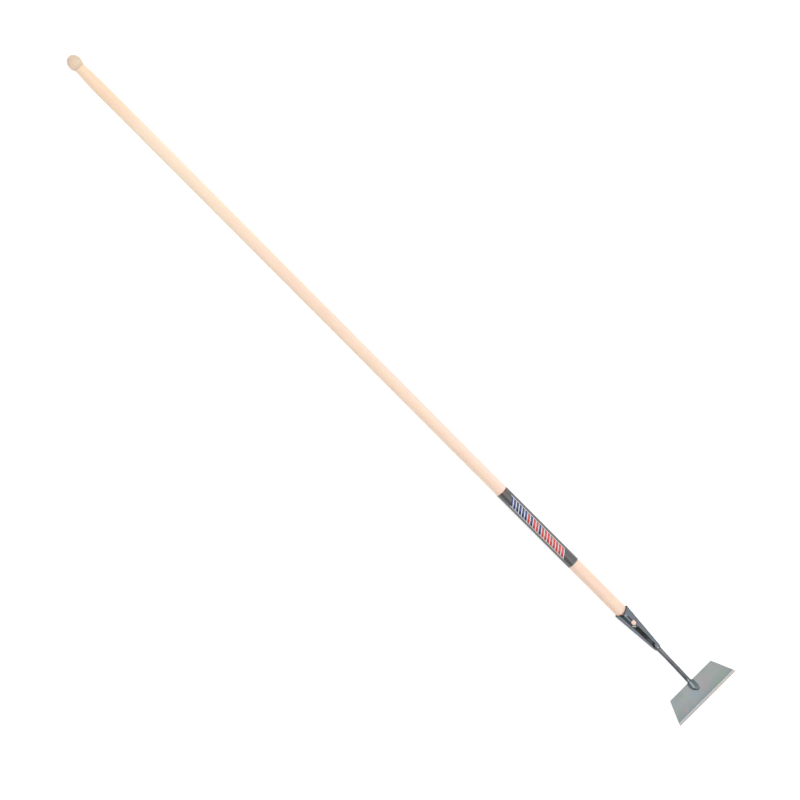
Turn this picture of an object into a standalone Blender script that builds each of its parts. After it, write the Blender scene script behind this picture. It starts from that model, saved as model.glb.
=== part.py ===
"""A push hoe with a turned wooden handle, a rolled steel socket and a flat trapezoid blade.

The tool is drawn in its own frame: X runs along the handle from the middle of the end knob
towards the blade, Z points to the side with the open seam of the socket, and Y is sideways.
One empty then lays the whole tool on the ground, on the knob and on the blade's back edge.
All sizes are in metres.
"""
import math

import bpy
from mathutils import Vector

# End knob, a turned ball that is a little longer than it is thick
KNOB_HALF_LENGTH = 0.0175
KNOB_RADIUS = 0.0145
KNOB_FACE_RADIUS = 0.0106
TENON_RADIUS = 0.0055
TENON_LENGTH = 0.014
TENON_CHAMFER = 0.0008
BORE_SPARE_DEPTH = 0.0008

# Handle, with a waist behind the knob and a taper inside the socket
WAIST_RADIUS = 0.0103
WAIST_LENGTH = 0.057
WAIST_STEPS = 7
SHAFT_RADIUS_AT_WAIST = 0.0126
SHAFT_RADIUS_AT_SOCKET = 0.0128
HANDLE_IN_SOCKET = 0.0406
HANDLE_END_CHAMFER = 0.0016

# Printed film sleeve, shrunk on the handle
SLEEVE_START = 1.2229
SLEEVE_LENGTH = 0.2101
SLEEVE_THICKNESS = 0.0004
SLEEVE_GAP = 0.00025
SLEEVE_EDGE = 0.00015

# Socket, rolled from sheet; distances along it are measured from its mouth
MOUTH_STATION = 1.5727
SOCKET_WALL = 0.0018
MOUTH_RADIUS = 0.01625
CONE_END_RADIUS = 0.0082
CONE_LENGTH = 0.1000
SOCKET_LENGTH = 0.1070
WELD_END = 0.1124
SOCKET_SEGMENTS = 28
SOCKET_COARSE_STEPS = 9

# Rim of the mouth, cut a little aslant, and cut back in a wide V on the side of the seam;
# the V has a flat bottom and each of its sides ends near a limb of the socket
RIM_DEPTH = 0.0076
RIM_LEFT_END = -0.0153
RIM_LEFT_CORNER = -0.0056
RIM_RIGHT_CORNER = 0.0006
RIM_RIGHT_END = 0.0149
RIM_SLANT = 0.0007
RIM_REACH = 0.0240

# Opening between the two rolled edges of the socket
SEAM_GAP = 0.0009
HOLE_DISTANCE = 0.0338
HOLE_RADIUS = 0.0056
HOLE_OFFSET = 0.0019
CHANNEL_START = 0.0423
CHANNEL_SLANT = 0.0028
CHANNEL_END = 0.1015
CHANNEL_WIDTH = 0.0078
CHANNEL_OFFSET = -0.0012
CHANNEL_ROUNDING = 0.0034
ROUNDING_STEPS = 5

# Neck, a round bar welded in the socket, which dips, kicks up and is forged flat on the blade
BAR_RADIUS = 0.0047
BAR_START = 0.0965
BAR_END_CHAMFER = 0.0006
STRAIGHT_LENGTH = 0.0160
DIP_RADIUS = 0.0800
DIP_ANGLE = math.radians(10.0)
SLOPE_LENGTH = 0.0592
KICK_RADIUS = 0.0140
BLADE_ANGLE = math.radians(33.0)
LEAN_SLOPE = 0.013
LEAN_CURVE = 0.11
BAR_SEGMENTS = 24

# Foot, the forged end of the neck; distances on it are measured from the end of the kick,
# and its nose is rounded sooner on the -Y side, so that its tip lies towards +Y
FOOT_LENGTH = 0.0215
FOOT_HALF_WIDTH = 0.00885
FOOT_RIDGE_HEIGHT = 0.0052
FOOT_EDGE_HEIGHT = 0.0024
FOOT_INSET = 0.0050
FOOT_FULLNESS = 0.75
SPREAD_START = -0.0062
SPREAD_END = -0.0030
NOSE_LEFT_LENGTH = 0.0165
NOSE_RIGHT_LENGTH = 0.0092
NOSE_OFFSET = 0.0019
NOSE_HALF_WIDTH = 0.0020
NOSE_HEIGHT = 0.0016
RIDGE_DRIFT = 0.0018
RIDGE_TURN = 0.0140

# Blade, a trapezoid of plate with a ground cutting edge
BLADE_BACK_WIDTH = 0.117
BLADE_EDGE_WIDTH = 0.160
BLADE_DEPTH = 0.053
BLADE_THICKNESS = 0.0028
GRIND_LENGTH = 0.0052
GRIND_EDGE_THICKNESS = 0.0007
HEEL_CHAMFER = 0.0004

# Room between two pieces that touch
SEAT_GAP = 0.0003

TURNED_STEPS = 48
SMOOTH_ANGLE = math.radians(28.0)


def clear_scene():
    """Take every object out of the scene."""
    for old in list(bpy.data.objects):
        bpy.data.objects.remove(old, do_unlink=True)


def finish(name, colour, roughness, metallic=0.0):
    """A plain Principled surface for one piece."""
    material = bpy.data.materials.new(name)
    material.use_nodes = True
    shader = material.node_tree.nodes["Principled BSDF"]
    shader.inputs["Base Color"].default_value = (*colour, 1.0)
    shader.inputs["Roughness"].default_value = roughness
    shader.inputs["Metallic"].default_value = metallic
    return material


def solid(name, points, faces, material, parent):
    """An object of the tool from points in the tool's frame."""
    mesh = bpy.data.meshes.new(name)
    mesh.from_pydata(points, [], faces)
    mesh.validate()
    mesh.shade_smooth()
    mesh.set_sharp_from_angle(angle=SMOOTH_ANGLE)
    mesh.materials.append(material)
    piece = bpy.data.objects.new(name, mesh)
    bpy.context.scene.collection.objects.link(piece)
    piece.parent = parent
    return piece


def turned(name, outline, material, parent, closed=False):
    """A turned piece from (station, radius) points, blade end first along its outside."""
    points = [(radius, 0.0, station) for station, radius in outline]
    edges = [(i, i + 1) for i in range(len(points) - 1)]
    if closed:
        edges.append((len(points) - 1, 0))
    mesh = bpy.data.meshes.new(name)
    mesh.from_pydata(points, edges, [])
    mesh.materials.append(material)
    piece = bpy.data.objects.new(name, mesh)
    bpy.context.scene.collection.objects.link(piece)
    piece.parent = parent
    piece.rotation_euler = (0.0, math.radians(90.0), 0.0)
    lathe = piece.modifiers.new("turning", "SCREW")
    lathe.axis = "Z"
    lathe.steps = TURNED_STEPS
    lathe.render_steps = TURNED_STEPS
    lathe.use_merge_vertices = True
    lathe.merge_threshold = 0.00001
    lathe.use_smooth_shade = True
    return piece


def skin(rings, folded=False):
    """Points and faces of a closed solid through rings of equal point count.

    The rings follow +X and turn from +Z towards +Y, or follow -Y and turn from -X to +X over
    the top. A folded ring goes out and comes back along itself, as the section of a sheet
    does, so its two ends are closed by a strip.
    """
    count = len(rings[0])
    points = [point for ring in rings for point in ring]
    faces = []
    for row in range(len(rings) - 1):
        low, high = row * count, (row + 1) * count
        for i in range(count):
            j = (i + 1) % count
            faces.append((low + i, high + i, high + j, low + j))
    if folded:
        end = [(i, i + 1, count - 2 - i, count - 1 - i) for i in range(count // 2 - 1)]
    else:
        end = [tuple(range(count))]
    last = (len(rings) - 1) * count
    for face in end:
        faces.append(face)
        faces.append(tuple(last + i for i in reversed(face)))
    return points, faces


def knob_joint():
    """Station of the flat face where the knob meets the handle."""
    return KNOB_HALF_LENGTH * math.sqrt(1.0 - (KNOB_FACE_RADIUS / KNOB_RADIUS) ** 2)


def end_knob(parent):
    """Turned knob with a blind bore for the handle's tenon."""
    face = knob_joint()
    bore_radius = TENON_RADIUS + SEAT_GAP
    bore_end = face - TENON_LENGTH - BORE_SPARE_DEPTH
    outline = [(bore_end, 0.0), (bore_end, bore_radius), (face, bore_radius)]
    first = math.asin(KNOB_FACE_RADIUS / KNOB_RADIUS)
    steps_to_equator = 5
    steps_to_tip = 9
    for i in range(steps_to_equator + 1):
        turn = first + (math.pi / 2 - first) * i / steps_to_equator
        outline.append((KNOB_HALF_LENGTH * math.cos(turn), KNOB_RADIUS * math.sin(turn)))
    for i in range(1, steps_to_tip + 1):
        turn = math.pi / 2 * (1.0 + i / steps_to_tip)
        outline.append((KNOB_HALF_LENGTH * math.cos(turn), KNOB_RADIUS * math.sin(turn)))
    outline[-1] = (-KNOB_HALF_LENGTH, 0.0)
    wood = finish("knob wood", (0.74, 0.58, 0.41), 0.62)
    return turned("end_knob", outline, wood, parent)


def socket_outer_radius(distance):
    """Outer radius of the socket and the weld: a straight cone, then a tip rounded to the bar."""
    if distance <= CONE_LENGTH:
        return MOUTH_RADIUS + (CONE_END_RADIUS - MOUTH_RADIUS) * distance / CONE_LENGTH
    along = (distance - CONE_LENGTH) / (WELD_END - CONE_LENGTH)
    return BAR_RADIUS + (CONE_END_RADIUS - BAR_RADIUS) * (1.0 - along ** 2)


def socket_inner_radius(distance):
    """Inner radius of the socket, never closer to the bar than the seat gap."""
    return max(socket_outer_radius(distance) - SOCKET_WALL, BAR_RADIUS + SEAT_GAP)


def handle(parent):
    """Turned shaft: tenon, waist, long shaft and the tapered end in the socket."""
    seat = SOCKET_WALL + SEAT_GAP
    cone_slope = (MOUTH_RADIUS - CONE_END_RADIUS) / CONE_LENGTH
    taper_start = (MOUTH_RADIUS - seat - SHAFT_RADIUS_AT_SOCKET) / cone_slope
    end = MOUTH_STATION + HANDLE_IN_SOCKET
    end_radius = socket_outer_radius(HANDLE_IN_SOCKET) - seat
    face = knob_joint() + SEAT_GAP
    tenon_end = face - TENON_LENGTH
    outline = [
        (end, 0.0),
        (end, end_radius - HANDLE_END_CHAMFER),
        (end - HANDLE_END_CHAMFER, end_radius),
        (MOUTH_STATION + taper_start, SHAFT_RADIUS_AT_SOCKET),
        (SLEEVE_START, SHAFT_RADIUS_AT_SOCKET),
    ]
    for i in range(WAIST_STEPS, -1, -1):
        along = i / WAIST_STEPS
        swell = math.sin(math.pi / 2 * along)
        radius = WAIST_RADIUS + (SHAFT_RADIUS_AT_WAIST - WAIST_RADIUS) * swell
        outline.append((face + WAIST_LENGTH * along, radius))
    outline += [
        (face, TENON_RADIUS),
        (tenon_end + TENON_CHAMFER, TENON_RADIUS),
        (tenon_end, TENON_RADIUS - TENON_CHAMFER),
        (tenon_end, 0.0),
    ]
    wood = finish("ash wood", (0.93, 0.73, 0.55), 0.55)
    return turned("handle", outline, wood, parent)


def label_sleeve(parent):
    """Thin film tube round the handle, with softened ends."""
    inner = SHAFT_RADIUS_AT_SOCKET + SLEEVE_GAP
    outer = inner + SLEEVE_THICKNESS
    end = SLEEVE_START + SLEEVE_LENGTH
    outline = [
        (end, inner),
        (end, outer - SLEEVE_EDGE),
        (end - SLEEVE_EDGE, outer),
        (SLEEVE_START + SLEEVE_EDGE, outer),
        (SLEEVE_START, outer - SLEEVE_EDGE),
        (SLEEVE_START, inner),
    ]
    film = finish("black film", (0.06, 0.06, 0.06), 0.3)
    return turned("label_sleeve", outline, film, parent, closed=True)


def ease(value):
    """Smooth step from 0 to 1."""
    value = min(max(value, 0.0), 1.0)
    return value * value * (3.0 - 2.0 * value)


def channel_half_width(distance, start):
    """Half of the channel's width, with rounded ends."""
    if not start < distance < CHANNEL_END:
        return 0.0
    from_end = min(distance - start, CHANNEL_END - distance, CHANNEL_ROUNDING)
    lack = 1.0 - from_end / CHANNEL_ROUNDING
    return CHANNEL_WIDTH / 2 * math.sqrt(1.0 - lack ** 2)


def opening_edges(distance):
    """Sideways places of the two rolled edges, (-Y edge, +Y edge), at a distance from the mouth.

    The edges run close together as a seam, part round the hole, cross over aslant and then
    stay apart along the channel.
    """
    hole_end = HOLE_DISTANCE + HOLE_RADIUS
    crossing = ease((distance - hole_end) / (CHANNEL_START - hole_end))
    middle = HOLE_OFFSET + (CHANNEL_OFFSET - HOLE_OFFSET) * crossing
    half = SEAM_GAP / 2
    if abs(distance - HOLE_DISTANCE) < HOLE_RADIUS:
        half = max(half, math.sqrt(HOLE_RADIUS ** 2 - (distance - HOLE_DISTANCE) ** 2))
    left = max(half, channel_half_width(distance, CHANNEL_START))
    right = max(half, channel_half_width(distance, CHANNEL_START + CHANNEL_SLANT))
    return middle - left, middle + right


def socket_stations():
    """Distances of the socket's sections, closer together where the opening curves."""
    stations = [SOCKET_LENGTH * i / SOCKET_COARSE_STEPS for i in range(SOCKET_COARSE_STEPS + 1)]
    stations += [HOLE_DISTANCE - HOLE_RADIUS * math.cos(math.pi * i / (2 * ROUNDING_STEPS))
                 for i in range(2 * ROUNDING_STEPS + 1)]
    curls = [1.0 - math.cos(math.pi / 2 * i / ROUNDING_STEPS) for i in range(ROUNDING_STEPS + 1)]
    for start in (CHANNEL_START, CHANNEL_START + CHANNEL_SLANT):
        stations += [start + CHANNEL_ROUNDING * curl for curl in curls]
    stations += [CHANNEL_END - CHANNEL_ROUNDING * curl for curl in curls]
    tip_length = SOCKET_LENGTH - CONE_LENGTH
    stations += [CONE_LENGTH + tip_length * i / ROUNDING_STEPS for i in range(ROUNDING_STEPS + 1)]
    least_step = 0.00035
    spaced = [0.0]
    for station in sorted(stations):
        if station - spaced[-1] > least_step:
            spaced.append(station)
    spaced[-1] = SOCKET_LENGTH
    return spaced


def rim_curve(distance, turn):
    """How far a section near the mouth is moved along the socket at a turn from the seam side."""
    sideways = MOUTH_RADIUS * math.sin(turn)
    cut = 0.0
    if math.cos(turn) > 0.0:
        left = (sideways - RIM_LEFT_END) / (RIM_LEFT_CORNER - RIM_LEFT_END)
        right = (RIM_RIGHT_END - sideways) / (RIM_RIGHT_END - RIM_RIGHT_CORNER)
        cut = RIM_DEPTH * max(0.0, min(left, right, 1.0))
    moved = cut + RIM_SLANT * math.sin(turn)
    return moved * max(0.0, 1.0 - distance / RIM_REACH)


def socket(parent):
    """Sheet rolled to a cone: each section is a thick open arc from one edge to the other."""
    rings = []
    for distance in socket_stations():
        radius = socket_outer_radius(distance)
        left, right = opening_edges(distance)
        first = math.asin(right / radius)
        last = 2.0 * math.pi + math.asin(left / radius)
        turns = [first + (last - first) * i / SOCKET_SEGMENTS for i in range(SOCKET_SEGMENTS + 1)]
        outside = []
        inside = []
        for turn in turns:
            place = distance + rim_curve(distance, turn)
            station = MOUTH_STATION + place
            outer = socket_outer_radius(place)
            inner = socket_inner_radius(place)
            outside.append((station, outer * math.sin(turn), outer * math.cos(turn)))
            inside.append((station, inner * math.sin(turn), inner * math.cos(turn)))
        rings.append(outside + inside[::-1])
    points, faces = skin(rings, folded=True)
    steel = finish("lacquered socket steel", (0.19, 0.21, 0.24), 0.4, 0.6)
    return solid("socket", points, faces, steel, parent)


class Walker:
    """A point that walks along the bar's middle line in the XZ plane."""

    def __init__(self, station, height):
        self.place = Vector((station, 0.0, height))
        self.heading = 0.0

    def forward(self, length):
        """Go straight on."""
        self.place += length * Vector((math.cos(self.heading), 0.0, math.sin(self.heading)))

    def arc(self, radius, turn):
        """Follow an arc; a positive turn is upwards."""
        after = self.heading + turn
        side = math.copysign(radius, turn)
        self.place += side * Vector((math.sin(after) - math.sin(self.heading), 0.0,
                                     math.cos(self.heading) - math.cos(after)))
        self.heading = after

    def ring(self, section):
        """A ring across the line from (sideways, upwards) pairs."""
        up = Vector((-math.sin(self.heading), 0.0, math.cos(self.heading)))
        side = Vector((0.0, 1.0, 0.0))
        return [self.place + across * side + rise * up for across, rise in section]


def round_section(radius):
    """Circle of the bar, from its top towards +Y."""
    turns = [2.0 * math.pi * i / BAR_SEGMENTS for i in range(BAR_SEGMENTS)]
    return [(radius * math.sin(turn), radius * math.cos(turn)) for turn in turns]


def nose_reach(distance, length):
    """How much of the foot's reach is left on a side whose nose has this length."""
    along = max(0.0, 1.0 - (FOOT_LENGTH - distance) / length)
    return math.sqrt(1.0 - along ** 2)


def foot_edges(distance):
    """Sideways places of the foot's two edges, (-Y edge, +Y edge), from the neck's middle."""
    left = NOSE_OFFSET - max(
        NOSE_HALF_WIDTH,
        (FOOT_HALF_WIDTH + NOSE_OFFSET) * nose_reach(distance, NOSE_LEFT_LENGTH))
    right = NOSE_OFFSET + max(
        NOSE_HALF_WIDTH,
        (FOOT_HALF_WIDTH - NOSE_OFFSET) * nose_reach(distance, NOSE_RIGHT_LENGTH))
    return left, right


def ridge_place(distance):
    """Sideways place of the foot's ridge, which drifts to -Y and then turns to the nose."""
    if distance < RIDGE_TURN:
        return -RIDGE_DRIFT * max(0.0, distance) / RIDGE_TURN
    along = (distance - RIDGE_TURN) / (FOOT_LENGTH - RIDGE_TURN)
    return NOSE_OFFSET * along - RIDGE_DRIFT * (1.0 - along)


def foot_section(distance):
    """Section at a distance from the kick's end, where the round bar spreads to a flat foot.

    The foot has a flat sole, upright edges and a roof that rises to a ridge. Its width and
    heights run down to a rounded nose.
    """
    spread = ease((distance - SPREAD_START) / (SPREAD_END - SPREAD_START))
    nose = ease(1.0 - (FOOT_LENGTH - distance) / NOSE_RIGHT_LENGTH)
    left, right = foot_edges(distance)
    ridge = ridge_place(distance)
    ridge_height = FOOT_RIDGE_HEIGHT + (NOSE_HEIGHT - FOOT_RIDGE_HEIGHT) * nose
    edge_height = FOOT_EDGE_HEIGHT + (NOSE_HEIGHT - FOOT_EDGE_HEIGHT) * nose
    edge_band = 0.1 * BAR_RADIUS
    pairs = []
    for across, rise in round_section(BAR_RADIUS):
        reach = abs(across / BAR_RADIUS) ** FOOT_FULLNESS
        edge = right if across > 0.0 else left
        if rise > edge_band:
            height = edge_height + (ridge_height - edge_height) * (1.0 - reach)
        elif rise < -edge_band:
            height = 0.0
        else:
            height = edge_height / 2
        place = ridge + (edge - ridge) * reach
        pairs.append((across + (place - across) * spread,
                      rise + (height - BAR_RADIUS - rise) * spread))
    return pairs


def bar_in_socket(walker):
    """Rings of the bar's end in the socket and of the weld that closes the socket's tip."""
    weld_steps = 5
    rings = [walker.ring(round_section(BAR_RADIUS - BAR_END_CHAMFER))]
    walker.forward(BAR_END_CHAMFER)
    rings.append(walker.ring(round_section(BAR_RADIUS)))
    weld_start = SOCKET_LENGTH + SEAT_GAP
    walker.forward(weld_start - BAR_START - BAR_END_CHAMFER)
    rings.append(walker.ring(round_section(BAR_RADIUS)))
    for i in range(weld_steps + 1):
        distance = weld_start + (WELD_END - weld_start) * i / weld_steps
        rings.append(walker.ring(round_section(socket_outer_radius(distance))))
        if i < weld_steps:
            walker.forward((WELD_END - weld_start) / weld_steps)
    return rings


def bends(walker):
    """Rings of the straight start, the dip, the slope and the kick up to the blade."""
    dip_steps = 5
    kick_steps = 14
    rings = []
    walker.forward(STRAIGHT_LENGTH)
    for _ in range(dip_steps):
        rings.append(walker.ring(round_section(BAR_RADIUS)))
        walker.arc(DIP_RADIUS, -DIP_ANGLE / dip_steps)
    rings.append(walker.ring(round_section(BAR_RADIUS)))
    walker.forward(SLOPE_LENGTH)
    kick = DIP_ANGLE + BLADE_ANGLE
    for i in range(kick_steps):
        before_foot = KICK_RADIUS * kick * (i / kick_steps - 1.0)
        rings.append(walker.ring(foot_section(before_foot)))
        walker.arc(KICK_RADIUS, kick / kick_steps)
    return rings


def foot(walker):
    """Rings of the forged foot, flat on the blade, closer together along its nose."""
    straight_steps = 4
    nose_steps = 7
    straight = FOOT_LENGTH - NOSE_RIGHT_LENGTH
    distances = [straight * i / straight_steps for i in range(straight_steps)]
    distances += [straight + NOSE_RIGHT_LENGTH * math.sin(math.pi / 2 * i / nose_steps)
                  for i in range(nose_steps + 1)]
    rings = []
    walked = 0.0
    for distance in distances:
        walker.forward(distance - walked)
        walked = distance
        rings.append(walker.ring(foot_section(distance)))
    return rings


def lean(ring):
    """A ring of the neck moved to -Y, as the bar leans a little sideways beyond the weld."""
    leaned = []
    for point in ring:
        beyond = max(0.0, point.x - MOUTH_STATION - WELD_END)
        shift = LEAN_SLOPE * beyond + LEAN_CURVE * beyond ** 2
        leaned.append(point - Vector((0.0, shift, 0.0)))
    return leaned


def neck(parent):
    """Bar from inside the socket to the foot. Returns the foot's place and heading."""
    walker = Walker(MOUTH_STATION + BAR_START, 0.0)
    rings = bar_in_socket(walker) + bends(walker)
    seat = walker.place.copy()
    heading = walker.heading
    rings += foot(walker)
    points, faces = skin([lean(ring) for ring in rings])
    steel = finish("lacquered neck steel", (0.16, 0.18, 0.20), 0.42, 0.6)
    solid("neck", points, faces, steel, parent)
    return seat, heading


def blade_profile(seat, heading):
    """(place in the XZ plane, distance from the back edge) round the blade's middle section."""
    along = Vector((math.cos(heading), 0.0, math.sin(heading)))
    up = Vector((-math.sin(heading), 0.0, math.cos(heading)))
    top_back = seat - FOOT_INSET * along - (BAR_RADIUS + SEAT_GAP) * up
    outline = [
        (0.0, -HEEL_CHAMFER),
        (HEEL_CHAMFER, 0.0),
        (BLADE_DEPTH - GRIND_LENGTH, 0.0),
        (BLADE_DEPTH, GRIND_EDGE_THICKNESS - BLADE_THICKNESS),
        (BLADE_DEPTH, -BLADE_THICKNESS),
        (HEEL_CHAMFER, -BLADE_THICKNESS),
        (0.0, HEEL_CHAMFER - BLADE_THICKNESS),
    ]
    return [(top_back + depth * along + height * up, depth) for depth, height in outline]


def blade(profile, parent):
    """Trapezoid plate between its two slanted sides."""
    rings = []
    for side in (1.0, -1.0):
        ring = []
        for place, depth in profile:
            width = BLADE_BACK_WIDTH + (BLADE_EDGE_WIDTH - BLADE_BACK_WIDTH) * depth / BLADE_DEPTH
            ring.append(place + Vector((0.0, side * width / 2, 0.0)))
        rings.append(ring)
    points, faces = skin(rings)
    steel = finish("blade steel", (0.36, 0.39, 0.38), 0.35, 0.9)
    return solid("blade", points, faces, steel, parent)


def lay_down(frame, profile):
    """Turn and place the tool so that knob and blade rest on the ground, centred on it."""
    places = [place for place, _ in profile]
    heel = min(places, key=lambda place: place.z)
    tilt = math.atan((heel.z + KNOB_RADIUS) / heel.x)
    front = max(place.x * math.cos(tilt) + place.z * math.sin(tilt) for place in places)
    back = -KNOB_HALF_LENGTH * math.cos(tilt)
    frame.rotation_euler = (0.0, tilt, 0.0)
    frame.location = (-(front + back) / 2, 0.0, KNOB_RADIUS * math.cos(tilt))


def build():
    """Make the hoe."""
    clear_scene()
    frame = bpy.data.objects.new("tool_frame", None)
    bpy.context.scene.collection.objects.link(frame)
    end_knob(frame)
    handle(frame)
    label_sleeve(frame)
    socket(frame)
    seat, heading = neck(frame)
    profile = blade_profile(seat, heading)
    blade(profile, frame)
    lay_down(frame, profile)


build()
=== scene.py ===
"""Looks for a push hoe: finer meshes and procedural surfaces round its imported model.

Every piece is drawn in the tool's own frame, as the model is: X runs along the handle from the
middle of the end knob, Z points to the side with the open seam, and Y is sideways. All sizes are
in metres. The sizes of the model's pieces are repeated here, and the socket's opening, the root
of the bar and the outline of the foot are drawn a little more exactly.
"""
from math import asin, atan2, copysign, cos, degrees, exp, pi, radians, sin, sqrt

import bmesh
import bpy
from mathutils import Matrix, Vector, noise


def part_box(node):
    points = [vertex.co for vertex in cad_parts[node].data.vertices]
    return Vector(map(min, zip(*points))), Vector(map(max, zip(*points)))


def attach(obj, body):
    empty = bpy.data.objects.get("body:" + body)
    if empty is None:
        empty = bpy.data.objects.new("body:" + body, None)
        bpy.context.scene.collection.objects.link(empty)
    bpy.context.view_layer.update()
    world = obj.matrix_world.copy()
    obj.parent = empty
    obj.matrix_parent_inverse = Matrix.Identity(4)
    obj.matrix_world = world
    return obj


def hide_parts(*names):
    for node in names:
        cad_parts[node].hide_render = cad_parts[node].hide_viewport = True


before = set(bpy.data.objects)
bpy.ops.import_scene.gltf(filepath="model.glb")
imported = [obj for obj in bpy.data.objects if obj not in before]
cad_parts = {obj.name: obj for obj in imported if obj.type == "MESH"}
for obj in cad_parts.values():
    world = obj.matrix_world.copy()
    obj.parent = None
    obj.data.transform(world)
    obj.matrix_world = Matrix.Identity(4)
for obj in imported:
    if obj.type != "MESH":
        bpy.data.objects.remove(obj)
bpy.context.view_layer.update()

# Sizes of the knob and the handle
KNOB_HALF_LENGTH = 0.0175
KNOB_RADIUS = 0.0145
KNOB_FACE_RADIUS = 0.0106
KNOB_RIM = 0.0003
TENON_RADIUS = 0.0055
TENON_LENGTH = 0.014
TENON_CHAMFER = 0.0008
BORE_SPARE_DEPTH = 0.0008
WAIST_RADIUS = 0.0103
WAIST_LENGTH = 0.057
WAIST_RIM = 0.0002
JOINT_GAP = 0.0001
SHAFT_START_RADIUS = 0.0126
SHAFT_RADIUS = 0.0128
HANDLE_IN_SOCKET = 0.0406
HANDLE_END_ROUNDING = 0.0016
SEAT_GAP = 0.0003

# Sizes of the film sleeve, and of its print from the sleeve's start
SLEEVE_START = 1.2229
SLEEVE_LENGTH = 0.2101
SLEEVE_RADIUS = 0.01345
SLEEVE_INNER_RADIUS = 0.01305
SLEEVE_END_ROUNDING = 0.00015
PRINT_PITCH = 0.0082
PRINT_SLANT = 0.75
PRINT_HALF_HEIGHT = 0.0078
PRINT_SOFTNESS = 0.00008
LINES_FROM_MIDDLE = (0.0084, 0.0096)
LINES_ALONG = (0.0245, 0.1805)

# Sizes of the socket, from its mouth
MOUTH = 1.5727
SOCKET_WALL = 0.0018
SOCKET_CORNER = 0.00042
MOUTH_RADIUS = 0.01625
CONE_END_RADIUS = 0.0082
CONE_LENGTH = 0.1
SOCKET_LENGTH = 0.107
WELD_END = 0.1124
RIM_DEPTH = 0.0076
RIM_LEFT_END = -0.0153
RIM_LEFT_CORNER = -0.0056
RIM_RIGHT_CORNER = -0.0026
RIM_RIGHT_END = 0.0149
RIM_SLANT = 0.0002
RIM_SETBACK = 0.0004
RIM_RIGHT_CURVE = 1.5
RIM_FLAP_SLOPE = 0.26
RIM_FLAP_START = 0.0004
RIM_FLAP_END = 0.0016
RIM_REACH = 0.024
SEAM_GAP = 0.0009
SEAM_GAP_AT_HOLE = 0.0026
SEAM_WIDENING = 0.0115
SEAM_WIDENING_LENGTH = 0.003
HOLE_DISTANCE = 0.0338
HOLE_RADIUS = 0.006
HOLE_OFFSET = 0.0023
CHANNEL_START = 0.0438
CHANNEL_SLANT = -0.0008
CHANNEL_TAPER_START = 0.0955
CHANNEL_END = 0.1035
CHANNEL_WIDTH = 0.0086
CHANNEL_OFFSET = -0.0011
CHANNEL_END_OFFSET = -0.0036
CHANNEL_START_ROUNDING = 0.0013
CHANNEL_END_ROUNDING = 0.0034

# Places of the two weld beads, from the mouth and sideways
TIP_BEAD = (0.1052, 0.1122)
TACK_START = Vector((0.0422, -0.0001))
TACK_END = Vector((0.0364, -0.0062))
TACK_HALF_WIDTH = 0.0007
TACK_HEIGHT = 0.00055

# Sizes of the neck and its foot
BAR_SEGMENTS = 64
BAR_RADIUS = 0.0047
BAR_ROOT_EXTRA = 0.00045
BAR_ROOT_LENGTH = 0.03
BAR_START = 0.0965
BAR_CHAMFER = 0.0006
STRAIGHT_LENGTH = 0.016
DIP_RADIUS = 0.08
DIP_ANGLE = radians(10.0)
SLOPE_LENGTH = 0.0592
KICK_RADIUS = 0.014
BLADE_ANGLE = radians(33.0)
LEAN_SLOPE = 0.013
LEAN_CURVE = 0.11
FOOT_LENGTH = 0.0205
FOOT_HALF_WIDTH = 0.00885
FOOT_LEFT_HALF_WIDTH = 0.0085
FOOT_RIDGE_HEIGHT = 0.0052
FOOT_EDGE_HEIGHT = 0.0024
FOOT_INSET = 0.005
FOOT_FULLNESS = 0.75
SPREAD_START = -0.005
SPREAD_END = -0.0012
NOSE_LENGTH = 0.008
NOSE_LEFT_CURVE = (0.0135, 1.5, 0.9)
NOSE_RIGHT_CURVE = (NOSE_LENGTH, 2.0, 0.5)
NOSE_OFFSET = 0.0019
NOSE_HALF_WIDTH = 0.0012
NOSE_HEIGHT = 0.0016
RIDGE_START = 0.0007
RIDGE_DRIFT = 0.0014
RIDGE_TURN = 0.0122
RIDGE_TURN_POWER = 1.6
RIDGE_SOFTNESS = 0.07
# Distances from the foot's seat where the painted highlight along its ridge starts and ends
HIGHLIGHT_START = -0.0145
HIGHLIGHT_END = 0.0158

# Depths of the small waves and beads that hand work leaves
KNOB_WAVE = 0.00006
SHAFT_WAVE = 0.00007
FILM_WAVE = 0.00003
FILM_SLACK = 0.00004
FILM_CUT_WAVE = 0.00025
FILM_SHORTENING = 0.0002
SHEET_WAVE = 0.00008
BAR_WAVE = 0.0001
BEAD_HEIGHT = 0.00042
BEAD_DRIFT = 0.0004
BEAD_SINK = 0.0001
BEAD_ROOT = 0.0005

# Sizes of the blade
BLADE_BACK_WIDTH = 0.117
BLADE_EDGE_WIDTH = 0.16
BLADE_DEPTH = 0.053
BLADE_THICKNESS = 0.0028
BLADE_EDGE_ROUNDING = 0.0003
GRIND_LENGTH = 0.0052
GRIND_EDGE_THICKNESS = 0.0007


def find_tool_frame():
    """The tool's frame, from where the model's knob and sleeve are."""
    knob_low, knob_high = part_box("end_knob")
    sleeve_low, sleeve_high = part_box("label_sleeve")
    start = (knob_low + knob_high) / 2
    start.x = knob_low.x + KNOB_HALF_LENGTH
    middle = (sleeve_low + sleeve_high) / 2
    tilt = atan2(middle.z - start.z, middle.x - start.x)
    return Matrix.Translation(start) @ Matrix.Rotation(-tilt, 4, "Y")


TOOL = find_tool_frame()


def ease(value):
    """Smooth step from 0 to 1."""
    value = min(max(value, 0.0), 1.0)
    return value * value * (3.0 - 2.0 * value)


def mix(start, end, share):
    """Value at a share of the way from a start to an end."""
    return start + (end - start) * share


def wander(seed, x, y, z=0.0):
    """Smooth seeded noise, about -1 to 1, at a place given in its own units."""
    return noise.noise(Vector((x + 17.3 * seed, y - 5.1 * seed, z + 9.7 * seed))) * 1.6


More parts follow.
